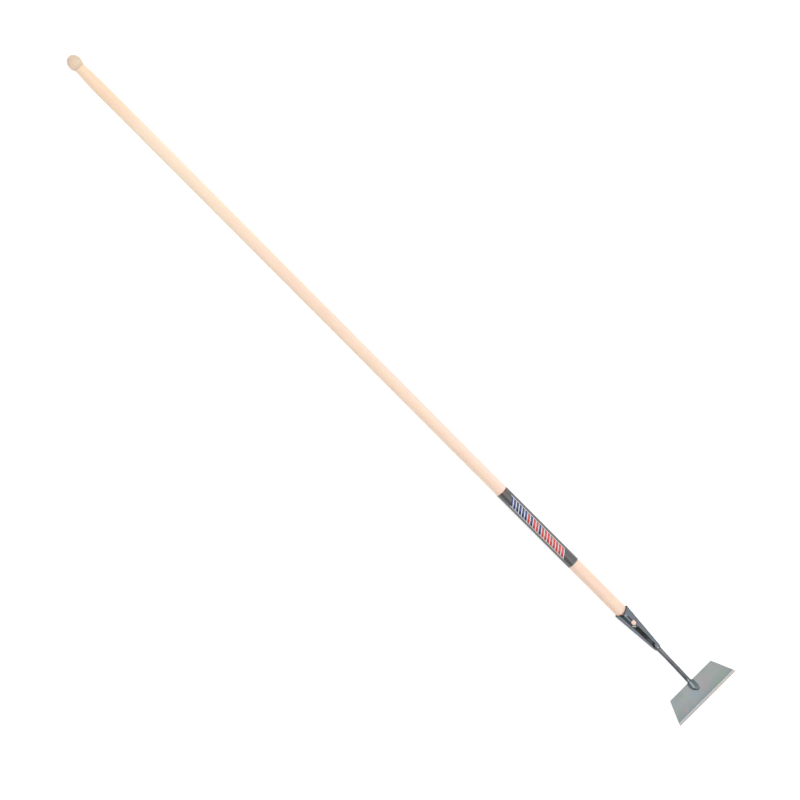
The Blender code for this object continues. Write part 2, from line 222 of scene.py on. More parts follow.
def wander_round(seed, along, radius, turn):
    """The same noise on a tube, at a place along it and a turn round it."""
    return wander(seed, along, radius * sin(turn), radius * cos(turn))


# Meshes

def turns(count):
    """The turns of a circle in equal steps."""
    return [2.0 * pi * i / count for i in range(count)]


def round_point(station, radius, turn):
    """Point round the handle's middle line, at a turn from the seam side towards +Y."""
    return (station, radius * sin(turn), radius * cos(turn))


def add_piece(name, mesh, materials, replaced, sharp):
    """Add a mesh as a finished piece of the tool, which rides on the one body."""
    for material in materials:
        mesh.materials.append(material)
    mesh.shade_smooth()
    mesh.set_sharp_from_angle(angle=radians(sharp))
    piece = bpy.data.objects.new(name, mesh)
    bpy.context.scene.collection.objects.link(piece)
    piece.matrix_world = TOOL
    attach(piece, "root")
    if replaced:
        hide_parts(replaced)
    return piece


def make_piece(name, shape, materials, replaced=None, face_materials=None, sharp=30.0):
    """A piece from its points and faces."""
    points, faces = shape
    mesh = bpy.data.meshes.new(name)
    mesh.from_pydata(points, [], faces)
    mesh.validate()
    if face_materials:
        mesh.polygons.foreach_set("material_index", face_materials)
    return add_piece(name, mesh, materials, replaced, sharp)


def skin(rings, ends="flat"):
    """Points and faces through closed rings of equal count. Ends are flat, folded or joined."""
    count = len(rings[0])
    points = [point for ring in rings for point in ring]
    faces = []
    for row in range(len(rings) if ends == "joined" else len(rings) - 1):
        low = row * count
        high = (row + 1) % len(rings) * count
        for i in range(count):
            j = (i + 1) % count
            faces.append((low + i, high + i, high + j, low + j))
    end = []
    if ends == "folded":
        end = [(i, i + 1, count - 2 - i, count - 1 - i) for i in range(count // 2 - 1)]
    if ends == "flat":
        end = [tuple(range(count))]
    last = (len(rings) - 1) * count
    for face in end:
        faces.append(face)
        faces.append(tuple(last + i for i in reversed(face)))
    return points, faces


def turn_on_lathe(outline, segments, wobble):
    """Points and faces of a turned solid, from (station, radius) pairs, knob end first.

    The outline starts and ends on the axis. The wobble changes a radius at a station and a turn.
    """
    rings = outline[1:-1]
    points = [(outline[0][0], 0.0, 0.0)]
    points += [round_point(station, radius + wobble(station, turn), turn)
               for station, radius in rings for turn in turns(segments)]
    points.append((outline[-1][0], 0.0, 0.0))
    faces = []
    for i in range(segments):
        j = (i + 1) % segments
        faces.append((0, 1 + i, 1 + j))
        for row in range(len(rings) - 1):
            low = 1 + row * segments
            high = low + segments
            faces.append((low + i, high + i, high + j, low + j))
        low = 1 + (len(rings) - 1) * segments
        faces.append((low + j, low + i, len(points) - 1))
    return points, faces


def knob_joint():
    """Station of the flat face where the knob meets the handle."""
    return KNOB_HALF_LENGTH * sqrt(1.0 - (KNOB_FACE_RADIUS / KNOB_RADIUS) ** 2)


def knob_piece(material):
    """Turned knob with a softened rim round its joint and a blind bore."""
    face = knob_joint()
    bore_radius = TENON_RADIUS + SEAT_GAP
    bore_end = face - TENON_LENGTH - BORE_SPARE_DEPTH
    steps = 34
    last = pi - asin(KNOB_FACE_RADIUS / KNOB_RADIUS)
    outline = [(-KNOB_HALF_LENGTH, 0.0)]
    outline += [(-KNOB_HALF_LENGTH * cos(last * i / steps), KNOB_RADIUS * sin(last * i / steps))
                for i in range(1, steps)]
    outline += [(face - 0.4 * KNOB_RIM, KNOB_FACE_RADIUS - 0.1 * KNOB_RIM),
                (face, KNOB_FACE_RADIUS - KNOB_RIM),
                (face, bore_radius), (bore_end, bore_radius), (bore_end, 0.0)]

    def hand_turned(station, turn):
        """Slight unevenness of the outer face."""
        if station >= face - KNOB_RIM:
            return 0.0
        return KNOB_WAVE * (wander(3, station * 160.0, 2.0 * sin(turn)) - 1.0)

    return make_piece("turned_knob", turn_on_lathe(outline, 96, hand_turned), [material],
                      "end_knob")


def handle_piece(material):
    """Turned shaft from the tenon in the knob to its tapered end in the socket."""
    seat = SOCKET_WALL + SEAT_GAP
    slope = (MOUTH_RADIUS - CONE_END_RADIUS) / CONE_LENGTH
    taper_start = MOUTH + (MOUTH_RADIUS - seat - SHAFT_RADIUS) / slope
    end = MOUTH + HANDLE_IN_SOCKET
    end_radius = outer_radius(HANDLE_IN_SOCKET) - seat
    face = knob_joint() + JOINT_GAP
    tenon_end = face - TENON_LENGTH
    outline = [(tenon_end, 0.0), (tenon_end, TENON_RADIUS - TENON_CHAMFER),
               (tenon_end + TENON_CHAMFER, TENON_RADIUS), (face, TENON_RADIUS),
               (face, WAIST_RADIUS - WAIST_RIM), (face + 0.3 * WAIST_RIM, WAIST_RADIUS - 0.3 * WAIST_RIM)]
    waist_steps = 40
    for i in range(waist_steps + 1):
        along = i / waist_steps
        station = face + mix(WAIST_RIM, WAIST_LENGTH, along)
        swell = sin(pi / 2 * along)
        outline.append((station, mix(WAIST_RADIUS, SHAFT_START_RADIUS, swell)))
    shaft_start = outline[-1][0]
    shaft_steps = 150
    for i in range(1, shaft_steps + 1):
        station = mix(shaft_start, taper_start, i / shaft_steps)
        grow = min(1.0, (station - shaft_start) / (SLEEVE_START - shaft_start))
        outline.append((station, mix(SHAFT_START_RADIUS, SHAFT_RADIUS, grow)))
    middle = 0.0005
    outline += [(end - HANDLE_END_ROUNDING, end_radius), (end - middle, end_radius - middle),
                (end, end_radius - HANDLE_END_ROUNDING), (end, 0.0)]

    def sanded(station, turn):
        """Slight flats and swells that sanding leaves on the free shaft."""
        free = min(1.0, max(0.0, station - face) / 0.02)
        free *= 1.0 if station < SLEEVE_START - 0.01 else 0.3
        return free * SHAFT_WAVE * (wander_round(5, station * 9.0, 1.0, turn) - 1.0)

    return make_piece("turned_handle", turn_on_lathe(outline, 72, sanded), [material],
                      "handle")


def sleeve_piece(material):
    """Film tube with faint shrink ripples and ends that aren't cut quite straight."""
    length_steps = 104
    length = SLEEVE_LENGTH - FILM_SHORTENING
    around = turns(96)
    rings = []
    for step in range(length_steps + 1):
        along = step / length_steps
        near_end = max(0.0, abs(2.0 * along - 1.0) * 8.0 - 7.0)
        inwards = FILM_CUT_WAVE * near_end * (1.0 if along < 0.5 else -1.0)
        ring = []
        for turn in around:
            cut = abs(wander(11, sin(turn) * 1.3, cos(turn) * 1.3, along * 40.0))
            station = SLEEVE_START + length * along + inwards * cut
            ripple = FILM_WAVE * min(1.0, wander_round(7, station * 60.0, 1.7, turn))
            radius = SLEEVE_RADIUS - FILM_SLACK + ripple
            if step in (0, length_steps):
                radius -= SLEEVE_END_ROUNDING
            ring.append(round_point(station, radius, turn))
        rings.append(ring)
    for ring in (rings[-1], rings[0]):
        rings.append([round_point(point[0], SLEEVE_INNER_RADIUS, turn) for point, turn in zip(ring, around)])
    return make_piece("film_sleeve", skin(rings, "joined"), [material], "label_sleeve")


def outer_radius(distance):
    """Outer radius of the socket and its tip: a straight cone, then a curve down to the bar."""
    if distance <= CONE_LENGTH:
        return mix(MOUTH_RADIUS, CONE_END_RADIUS, distance / CONE_LENGTH)
    along = (distance - CONE_LENGTH) / (WELD_END - CONE_LENGTH)
    return mix(CONE_END_RADIUS, BAR_RADIUS, along ** 2)


def inner_radius(distance):
    """Inner radius of the socket, clear of the bar."""
    return max(outer_radius(distance) - SOCKET_WALL, BAR_RADIUS + SEAT_GAP)


def channel_share(distance, start):
    """Share of the channel's width at a distance, with rounded ends."""
    if not start < distance < CHANNEL_END:
        return 0.0
    lack = 1.0 - min((distance - start) / CHANNEL_START_ROUNDING,
                     (CHANNEL_END - distance) / CHANNEL_END_ROUNDING, 1.0)
    return sqrt(1.0 - lack ** 2)


def opening_edges(distance):
    """Sideways places of the two rolled edges, (-Y edge, +Y edge), at a distance from the mouth."""
    hole_end = HOLE_DISTANCE + HOLE_RADIUS
    crossing = ease((distance - hole_end) / (CHANNEL_START - hole_end))
    closing = ease((distance - CHANNEL_TAPER_START) / (CHANNEL_END - CHANNEL_TAPER_START))
    drift = (CHANNEL_OFFSET - CHANNEL_END_OFFSET) * closing
    middle = mix(HOLE_OFFSET, CHANNEL_OFFSET, crossing) - drift
    wider = ease((distance - SEAM_WIDENING) / SEAM_WIDENING_LENGTH) * (1.0 - crossing)
    half = mix(SEAM_GAP, SEAM_GAP_AT_HOLE, wider) / 2
    if abs(distance - HOLE_DISTANCE) < HOLE_RADIUS:
        half = max(half, sqrt(HOLE_RADIUS ** 2 - (distance - HOLE_DISTANCE) ** 2))
    left = max(half, (CHANNEL_WIDTH / 2 - drift) * channel_share(distance, CHANNEL_START))
    share = channel_share(distance, CHANNEL_START + CHANNEL_SLANT)
    right = max(half, CHANNEL_WIDTH / 2 * (1.0 - closing) * share)
    return middle - left, middle + right


def rim_cut(sideways):
    """Depth of the wide V in the mouth's rim at a sideways place on the seam side."""
    to_end = RIM_RIGHT_END - sideways
    left = (sideways - RIM_LEFT_END) / (RIM_LEFT_CORNER - RIM_LEFT_END)
    right = max(0.0, to_end / (RIM_RIGHT_END - RIM_RIGHT_CORNER)) ** RIM_RIGHT_CURVE
    flap = min(right, to_end * RIM_FLAP_SLOPE / RIM_DEPTH)
    right = mix(right, flap, ease((sideways - RIM_FLAP_START) / (RIM_FLAP_END - RIM_FLAP_START)))
    return RIM_DEPTH * max(0.0, min(left, right, 1.0))


def rim_curve(distance, turn):
    """How far a section near the mouth is moved along the socket at a turn from the seam side."""
    moved = RIM_SETBACK + RIM_SLANT * sin(turn)
    if cos(turn) > 0.0:
        moved += rim_cut(MOUTH_RADIUS * sin(turn))
    return moved * max(0.0, 1.0 - distance / RIM_REACH)


def socket_stations():
    """Distances of the socket's sections, close together where its opening curves."""
    stations = [SOCKET_LENGTH * i / 90 for i in range(91)]
    curve_steps = 22
    stations += [HOLE_DISTANCE - HOLE_RADIUS * cos(pi * i / curve_steps) for i in range(curve_steps + 1)]
    curls = [1.0 - cos(pi / 2 * i / 10) for i in range(11)]
    for start in (CHANNEL_START, CHANNEL_START + CHANNEL_SLANT):
        stations += [start + CHANNEL_START_ROUNDING * curl for curl in curls]
    stations += [CHANNEL_END - CHANNEL_END_ROUNDING * curl for curl in curls]
    closest = 0.00012
    spaced = [0.0]
    for station in sorted(stations):
        if station - spaced[-1] > closest:
            spaced.append(station)
    spaced[-1] = SOCKET_LENGTH
    return spaced


def socket_piece(outside_steel, inside_steel):
    """Rolled sheet with softened cut edges, faint rolling waves and a curved mouth."""
    arc_steps = 84
    corner = SOCKET_CORNER
    curve = [(1.0, 0.0), (0.62, 0.08), (0.29, 0.29), (0.08, 0.62), (0.0, 1.0)]
    sections = [(0.0, 0.0, corner), (0.0, 0.29 * corner, 0.29 * corner), (0.0, corner, 0.0)]
    sections += [(distance, 0.0, 0.0) for distance in socket_stations() if distance > 2 * corner]
    rings = []
    for distance, shift, thinner in sections:
        radius = outer_radius(distance)
        left, right = opening_edges(distance)
        first = asin(right / radius)
        last = 2.0 * pi + asin(left / radius)
        bend = corner / radius
        path = [(first + bend * (1.0 - drop), bend_in) for bend_in, drop in curve]
        path += [(mix(first + bend, last - bend, i / arc_steps), 0.0) for i in range(1, arc_steps)]
        path += [(last - bend * (1.0 - drop), bend_in) for bend_in, drop in reversed(curve)]
        outside = []
        inside = []
        for turn, bend_in in path:
            place = distance + shift + rim_curve(distance, turn)
            wave = SHEET_WAVE * (wander_round(13, place * 70.0, 2.2, turn) - 1.0)
            inset = max(corner * bend_in, thinner)
            inner = inner_radius(place) + min(inset, SOCKET_WALL * 0.45)
            outside.append(round_point(MOUTH + place, outer_radius(place) + wave - inset, turn))
            inside.append(round_point(MOUTH + place, inner, turn))
        rings.append(outside + inside[::-1])
    points, faces = skin(rings, "folded")
    count = len(rings[0])
    walls = (len(rings) - 1) * count
    inner_faces = [int(i < walls and count // 2 <= i % count < count - 1) for i in range(len(faces))]
    return make_piece("rolled_socket", (points, faces), [outside_steel, inside_steel],
                      "socket", inner_faces)


class Walker:
    """A point that walks along the bar's middle line in the XZ plane and leaves rings behind."""

    def __init__(self, station):
        self.place = Vector((station, 0.0, 0.0))
        self.heading = 0.0
        self.rings = []

    def forward(self, length):
        """Go straight on."""
        self.place += length * Vector((cos(self.heading), 0.0, sin(self.heading)))

    def arc(self, radius, turn):
        """Follow an arc; a positive turn is upwards."""
        after = self.heading + turn
        side = copysign(radius, turn)
        self.place += side * Vector((sin(after) - sin(self.heading), 0.0,
                                     cos(self.heading) - cos(after)))
        self.heading = after

    def ring(self, section):
        """Leave a ring across the line from (sideways, upwards) pairs, moved to -Y by the bar's lean."""
        up = Vector((-sin(self.heading), 0.0, cos(self.heading)))
        ring = []
        for across, rise in section:
            point = self.place + rise * up
            beyond = max(0.0, point.x - MOUTH - WELD_END)
            point.y += across - LEAN_SLOPE * beyond - LEAN_CURVE * beyond ** 2
            ring.append(point)
        self.rings.append(ring)


def round_section(radius, station=None):
    """Circle of the bar, from its top towards +Y, slightly uneven where a station is given."""
    section = []
    for turn in turns(BAR_SEGMENTS):
        reach = radius
        if station is not None:
            reach += BAR_WAVE * (wander_round(17, station * 75.0, 1.0, turn) - 0.9)
        section.append((reach * sin(turn), reach * cos(turn)))
    return section


def bar_radius(station):
    """Radius of the bar beyond the socket, a little thicker at its root."""
    beyond = station - MOUTH - WELD_END
    return BAR_RADIUS + BAR_ROOT_EXTRA * (1.0 - ease(beyond / BAR_ROOT_LENGTH))


def nose_reach(distance, full, length, power, bend):
    """Reach of the foot from its nose's middle, on a side with this full reach and length of nose."""
    along = max(0.0, 1.0 - (FOOT_LENGTH - distance) / length)
    return mix(NOSE_HALF_WIDTH, full, max(0.0, 1.0 - along ** power) ** bend)


def foot_edges(distance):
    """Sideways places of the foot's two edges, (-Y edge, +Y edge), from the neck's middle."""
    left = nose_reach(distance, FOOT_LEFT_HALF_WIDTH + NOSE_OFFSET, *NOSE_LEFT_CURVE)
    right = nose_reach(distance, FOOT_HALF_WIDTH - NOSE_OFFSET, *NOSE_RIGHT_CURVE)
    return NOSE_OFFSET - left, NOSE_OFFSET + right


def ridge_place(distance):
    """Sideways place of the foot's ridge, which drifts to -Y and then turns to the nose."""
    if distance < RIDGE_TURN:
        return -RIDGE_START - RIDGE_DRIFT * max(0.0, distance) / RIDGE_TURN
    turned = ((distance - RIDGE_TURN) / (FOOT_LENGTH - RIDGE_TURN)) ** RIDGE_TURN_POWER
    return mix(-RIDGE_START - RIDGE_DRIFT, NOSE_OFFSET, turned)


def foot_spread(distance):
    """0 where the bar is round, 1 where it is fully spread to the foot."""
    return ease((distance - SPREAD_START) / (SPREAD_END - SPREAD_START))


def foot_section(distance, station):
    """Section where the round bar spreads to a flat foot with a rounded ridge."""
    spread = foot_spread(distance)
    nose = ease(1.0 - (FOOT_LENGTH - distance) / NOSE_LENGTH)
    left, right = foot_edges(distance)
    ridge = ridge_place(distance)
    ridge_height = mix(FOOT_RIDGE_HEIGHT, NOSE_HEIGHT, nose)
    edge_height = mix(FOOT_EDGE_HEIGHT, NOSE_HEIGHT, nose)
    pairs = []
    for across, rise in round_section(BAR_RADIUS, station):
        reach = min(1.0, abs(across) / BAR_RADIUS) ** FOOT_FULLNESS
        edge = right if across > 0.0 else left
        slope = sqrt(reach ** 2 + RIDGE_SOFTNESS ** 2) - RIDGE_SOFTNESS
        side = ease((abs(rise) / BAR_RADIUS) / 0.3)
        top = mix(ridge_height, edge_height, slope) if rise > 0.0 else 0.0
        height = mix(edge_height * 0.5, top, side)
        pairs.append((mix(across, mix(ridge, edge, reach), spread), mix(rise, height - BAR_RADIUS, spread)))
    return pairs


def neck_piece(material):
    """Bar from inside the socket through its bends to the foot. Returns its seat and heading there."""
    walker = Walker(MOUTH + BAR_START)
    walker.ring(round_section(BAR_RADIUS - BAR_CHAMFER))
    walker.forward(BAR_CHAMFER)
    walker.ring(round_section(BAR_RADIUS))
    weld_start = SOCKET_LENGTH + SEAT_GAP
    walker.forward(weld_start - BAR_START - BAR_CHAMFER)
    walker.ring(round_section(BAR_RADIUS))
    below_bead = 0.00005
    weld_steps = 12
    for i in range(weld_steps + 1):
        distance = mix(weld_start, WELD_END, i / weld_steps)
        walker.ring(round_section(max(outer_radius(distance) - below_bead, bar_radius(walker.place.x))))
        if i < weld_steps:
            walker.forward((WELD_END - weld_start) / weld_steps)
    straight_steps = 12
    dip_steps = 10
    for i in range(straight_steps + dip_steps):
        if i < straight_steps:
            walker.forward(STRAIGHT_LENGTH / straight_steps)
        else:
            walker.arc(DIP_RADIUS, -DIP_ANGLE / dip_steps)
        walker.ring(round_section(bar_radius(walker.place.x), walker.place.x))
    kick = DIP_ANGLE + BLADE_ANGLE
    from_foot = [HIGHLIGHT_START] * len(walker.rings)
    slope_steps = 44
    for i in range(slope_steps):
        walker.forward(SLOPE_LENGTH / slope_steps)
        from_foot.append(SLOPE_LENGTH * ((i + 1) / slope_steps - 1.0) - KICK_RADIUS * kick)
        walker.ring(round_section(BAR_RADIUS, walker.place.x))
    kick_steps = 34
    for i in range(1, kick_steps):
        walker.arc(KICK_RADIUS, kick / kick_steps)
        from_foot.append(KICK_RADIUS * kick * (i / kick_steps - 1.0))
        walker.ring(foot_section(from_foot[-1], walker.place.x))
    walker.arc(KICK_RADIUS, kick / kick_steps)
    seat = walker.place.copy()
    straight = FOOT_LENGTH - NOSE_LENGTH
    distances = [straight * i / 14 for i in range(14)]
    distances += [straight + NOSE_LENGTH * sin(pi / 2 * i / 22) for i in range(23)]
    walked = 0.0
    for distance in distances:
        walker.forward(distance - walked)
        walked = distance
        walker.ring(foot_section(distance, walker.place.x))
    piece = make_piece("forged_neck", skin(walker.rings), [material], "neck")
    add_ridge_highlight(piece, from_foot + distances)
    return seat, walker.heading


def add_ridge_highlight(piece, distances):
    """A point value that is 1 along the foot's ridge, from the flare to the start of the nose: the mask of a
    painted highlight.
    """
    wear_and_sheen = piece.data.attributes.new("ridge_highlight", "FLOAT", "POINT")
    values = []
    for distance in distances:
        on_foot = ease((distance - HIGHLIGHT_START) / 0.005) * ease((HIGHLIGHT_END - distance) / 0.004)
        spread = foot_spread(distance)
        width = mix(0.3, 0.12, spread)
        for turn in turns(BAR_SEGMENTS):
            from_ridge = (sin(turn) + 0.15 * (1.0 - spread)) / width
            values.append(on_foot * exp(-from_ridge ** 2) if cos(turn) > 0.0 else 0.0)
    wear_and_sheen.data.foreach_set("value", values)


def tip_weld_piece(material):
    """Low lumpy weld bead round the tip of the socket, where the bar goes in."""
    steps = 12
    rings = []
    for turn in turns(80):
        drift = BEAD_DRIFT * wander(19, 2.5 * sin(turn), 2.5 * cos(turn))
        outside = []
        inside = []
        for step in range(steps + 1):
            along = step / steps
            distance = drift + mix(*TIP_BEAD, along)
            ripple = 1.0 + 0.3 * sin(turn * 23.0 + 5.0 * along)
            bead = BEAD_HEIGHT * sin(pi * along) ** 0.6 * ripple
            surface = outer_radius(min(distance, WELD_END))
            outside.append(round_point(MOUTH + distance, surface - BEAD_SINK + bead, turn))
            inside.append(round_point(MOUTH + distance, surface - BEAD_ROOT, turn))
        rings.append(inside[::-1] + outside)
    make_piece("tip_weld", skin(rings, "joined"), [material], sharp=60.0)


def seam_tack_piece(material):
    """Short weld bead aslant between the hole and the channel, on the -Y side of the seam."""
    steps = 18
    along_line = (TACK_END - TACK_START).normalized()
    across_line = Vector((-along_line.y, along_line.x))
    rings = []
    for step in range(steps + 1):
        along = step / steps
        swell = sqrt(max(0.0, 1.0 - (2.0 * along - 1.0) ** 6)) * 0.96 + 0.04
        swell *= 1.0 + 0.12 * sin(along * 30.0)
        ring = []
        for turn in turns(14):
            flat = mix(TACK_START, TACK_END, along) + across_line * TACK_HALF_WIDTH * swell * cos(turn)
            radius = outer_radius(flat.x)
            lift = TACK_HEIGHT * swell * sin(turn)
            ring.append(round_point(MOUTH + flat.x, radius + lift, flat.y / radius))
        rings.append(ring)
    make_piece("seam_tack", skin(rings), [material], sharp=60.0)


def blade_piece(seat, heading, materials):
    """Trapezoid plate with softened edges and a ground bevel."""
    along = Vector((cos(heading), 0.0, sin(heading)))
    up = Vector((-sin(heading), 0.0, cos(heading)))
    top_back = seat - FOOT_INSET * along - (BAR_RADIUS + SEAT_GAP) * up
    outline = [(0.0, 0.0), (BLADE_DEPTH - GRIND_LENGTH, 0.0),
               (BLADE_DEPTH, GRIND_EDGE_THICKNESS - BLADE_THICKNESS),
               (BLADE_DEPTH, -BLADE_THICKNESS), (0.0, -BLADE_THICKNESS)]
    plate = bmesh.new()
    rows = []
    for side in (0.5, -0.5):
        row = []
        for depth, height in outline:
            width = mix(BLADE_BACK_WIDTH, BLADE_EDGE_WIDTH, depth / BLADE_DEPTH)
            place = top_back + depth * along + height * up + Vector((0.0, side * width, 0.0))
            row.append(plate.verts.new(place))
        rows.append(row)
    plate.faces.new(rows[0])
    plate.faces.new(rows[1][::-1])
    for i in range(len(outline)):
        j = (i + 1) % len(outline)
        face = plate.faces.new((rows[0][i], rows[1][i], rows[1][j], rows[0][j]))
        face.material_index = {1: 1, 2: 2}.get(i, 0)
    bmesh.ops.recalc_face_normals(plate, faces=plate.faces)
    soft = [edge for edge in plate.edges
            if edge.calc_face_angle() > radians(40.0)
            and not all(abs((vert.co - top_back).dot(along) - BLADE_DEPTH) < 1e-6 for vert in edge.verts)]
    bmesh.ops.bevel(plate, geom=soft, offset=BLADE_EDGE_ROUNDING, segments=3, profile=0.5,
                    affect="EDGES", clamp_overlap=True)
    mesh = bpy.data.meshes.new("ground_blade")
    plate.to_mesh(mesh)
    plate.free()
    add_piece("ground_blade", mesh, materials, "blade", 12.0)


# Surfaces

def arithmetic(operation):
    """A method that gives the result of one Math node."""
    return lambda field, *others: field.nodes.math(operation, field, *others)


class Field:
    """A value that varies over a surface or over the sky, with plain arithmetic."""

    def __init__(self, nodes, socket):
        self.nodes = nodes
        self.socket = socket

    __add__ = arithmetic("ADD")
    __sub__ = arithmetic("SUBTRACT")
    __mul__ = arithmetic("MULTIPLY")
    __truediv__ = arithmetic("DIVIDE")
    __pow__ = arithmetic("POWER")
    __abs__ = arithmetic("ABSOLUTE")

    def __rsub__(self, other):
        return self.nodes.math("SUBTRACT", other, self)

    def band(self, low, high, smooth=True):
        """0 below low, 1 above high; a low above the high turns it round."""
        limits = {"From Min": min(low, high), "From Max": max(low, high),
                  "To Min": float(low > high), "To Max": float(low <= high)}
        return self.nodes.add("MapRange", {"Value": self, **limits},
                              interpolation_type="SMOOTHSTEP" if smooth else "LINEAR")

    def between(self, low, high, edge=0.01):
        """1 between two limits, with straight edges of this half width."""
        return self.band(low - edge, low + edge, False) * self.band(high + edge, high - edge, False)

    def spread(self, low, high):
        """The value from 0 to 1 carried to a range."""
        return self.nodes.add("MapRange", {"Value": self, "To Min": low, "To Max": high})


class Nodes:
    """Nodes of one tree, added and linked in short calls."""

    def __init__(self, tree, coordinates):
        self.tree = tree
        self.place = self.add("TexCoord", {}, coordinates)
        split = tree.nodes.new("ShaderNodeSeparateXYZ")
        self.put(split.inputs[0], self.place)
        self.x, self.y, self.z = (Field(self, output) for output in split.outputs)

    def put(self, socket, value):
        """Give a socket a field, a colour or a number."""
        if isinstance(value, Field):
            self.tree.links.new(value.socket, socket)
        elif isinstance(value, tuple) and len(value) == 3 and len(socket.default_value) == 4:
            socket.default_value = (*value, 1.0)
        else:
            socket.default_value = value

    def add(self, kind, inputs, output=0, **settings):
        """The output of a new node, from its settings and its inputs by name or number."""
        node = self.tree.nodes.new("ShaderNode" + kind)
        for name, value in settings.items():
            setattr(node, name, value)
        for name, value in inputs.items():
            self.put(node.inputs[name], value)
        return Field(self, node.outputs[output])

    def math(self, operation, *values, clamp=False):
        """One Math node."""
        return self.add("Math", dict(enumerate(values)), operation=operation, use_clamp=clamp)

    def noise(self, x, y, detail=2, roughness=0.5, shift=(0, 0, 0), z=None):
        """Noise from 0 to 1 with a frequency per metre along each axis, along Z as along Y if not given."""
        place = self.add("Mapping", {"Vector": self.place, "Location": shift, "Scale": (x, y, z or y)})
        return self.add("TexNoise", {"Vector": place, "Scale": 1.0, "Detail": detail,
                                     "Roughness": roughness})

    def blend(self, factor, a, b):
        """Mix of two colours."""
        return self.add("Mix", {0: factor, 6: a, 7: b}, 2, data_type="RGBA")


class Surface(Nodes):
    """A material whose tone is built up in layers."""

    def __init__(self, name, tone, metallic=0.0):
        self.material = bpy.data.materials.new(name)
        self.material.use_nodes = True
        super().__init__(self.material.node_tree, "Object")
        self.tone = tone
        self.set("Metallic", metallic)

    def set(self, name, value):
        """Give the shader's input a value or a field."""
        self.put(self.tree.nodes["Principled BSDF"].inputs[name], value)

    def tint(self, factor, colour):
        """Blend the tone with a colour, by a factor from 0 to 1."""
        self.tone = self.blend(factor, self.tone, colour)

    def finish(self, roughness, height=None, depth=0.0, strength=0.6):
        """The material with its tone and roughness, and with a bump whose depth is in metres."""
        self.set("Base Color", self.tone)
        self.set("Roughness", roughness)
        if height:
            self.set("Normal", self.add("Bump", {"Height": height, "Distance": depth,
                                                 "Strength": strength}))
        return self.material


def apart(across, along):
    """Distance from a place, from the distances in two directions."""
    return (across * across + along * along) ** 0.5


def spot(surface, distance, sideways, full, none):
    """1 within a radius of a place on the socket's seam side, 0 beyond a larger radius."""
    reach = apart(surface.x - (MOUTH + distance), surface.y - sideways)
    return reach.band(none, full) * surface.z.band(0.0, 0.001)


def wood_parts(wood, heart, ring_width, wave, seed):
    """Factors of sawn wood: (early wood in each ring, pores, fine fibre).

    The rings are round a heart line that runs along the piece, which wanders slowly.
    """
    slow = wood.noise(1.7, 9, 1, shift=(seed, 0, 0))
    fine = wood.noise(9, 60, 2, shift=(seed, 3, 0))
    reach = slow * wave + apart(wood.y - heart[0], wood.z - heart[1])
    phase = wood.math("FRACT", (fine * (0.25 * ring_width) + reach) / ring_width)
    early = phase.band(0.55, 0.0) * phase.band(0.0, 0.05)
    dashes = wood.noise(95, 3600, 1, shift=(0, seed, 0))
    pores = dashes.band(0.6, 0.72) * early.spread(0.3, 1.0)
    fibre = wood.noise(22, 2300, 3, 0.6, shift=(0, 0, seed))
    return early, pores, fibre


def distance_past_rim(surface):
    """Distance beyond the curved rim of the socket's mouth, on the seam side, as rim_cut has it."""
    y = surface.y
    to_end = RIM_RIGHT_END - y
    left = (y - RIM_LEFT_END) / (RIM_LEFT_CORNER - RIM_LEFT_END)
    right = surface.math("MAXIMUM", to_end / (RIM_RIGHT_END - RIM_RIGHT_CORNER), 0.0) ** RIM_RIGHT_CURVE
    flap = surface.math("MINIMUM", right, to_end * (RIM_FLAP_SLOPE / RIM_DEPTH))
    right = mix(right, flap, y.band(RIM_FLAP_START, RIM_FLAP_END))
    cut = surface.math("MINIMUM", left, right, clamp=True) * RIM_DEPTH
    return surface.x - (cut + (MOUTH + RIM_SETBACK) + y * (RIM_SLANT / MOUTH_RADIUS))


def shade_and_light_at_socket(wood):
    """Painted shade on the wood at the socket's mouth: brown to near black in the tip of the V, a dark line
    of contact shade along the rim, and near black under the sheet where the seam and the channel open; the
    wood in the hole is painted clear of this shade and a little lighter, against the shade of its recess.
    """
    y = wood.y
    past_rim = distance_past_rim(wood)
    apex = y.band(0.0024, 0.0002) * y.band(-0.0098, -0.0078)
    reach = y.band(-0.002, -0.0044) * 0.001 + past_rim
    # Painted shade in the tip of the V: brown, near black towards the -Y side.
    shade_brown = wood.blend(y.band(-0.0012, -0.0045), (0.27, 0.185, 0.135), (0.05, 0.029, 0.021))
    wood.tint(apex * reach.band(-0.0049, -0.0035) * 0.96, shade_brown)
    # Painted contact shade: dark from just before the rim, where the wood goes under the sheet.
    wood.tint(past_rim.band(-0.0013, -0.0002) * 0.8, (0.045, 0.04, 0.042))
    # Painted shade: near black wood under the sheet, seen through the seam and the channel.
    wood.tint(past_rim.band(0.0014, 0.003), (0.012, 0.01, 0.01))
    # The wood in the hole, painted over the shade and a little lighter, against the shade of its recess.
    wood.tint(spot(wood, HOLE_DISTANCE, HOLE_OFFSET, HOLE_RADIUS - 0.0006, HOLE_RADIUS),
              (0.95, 0.7, 0.59))


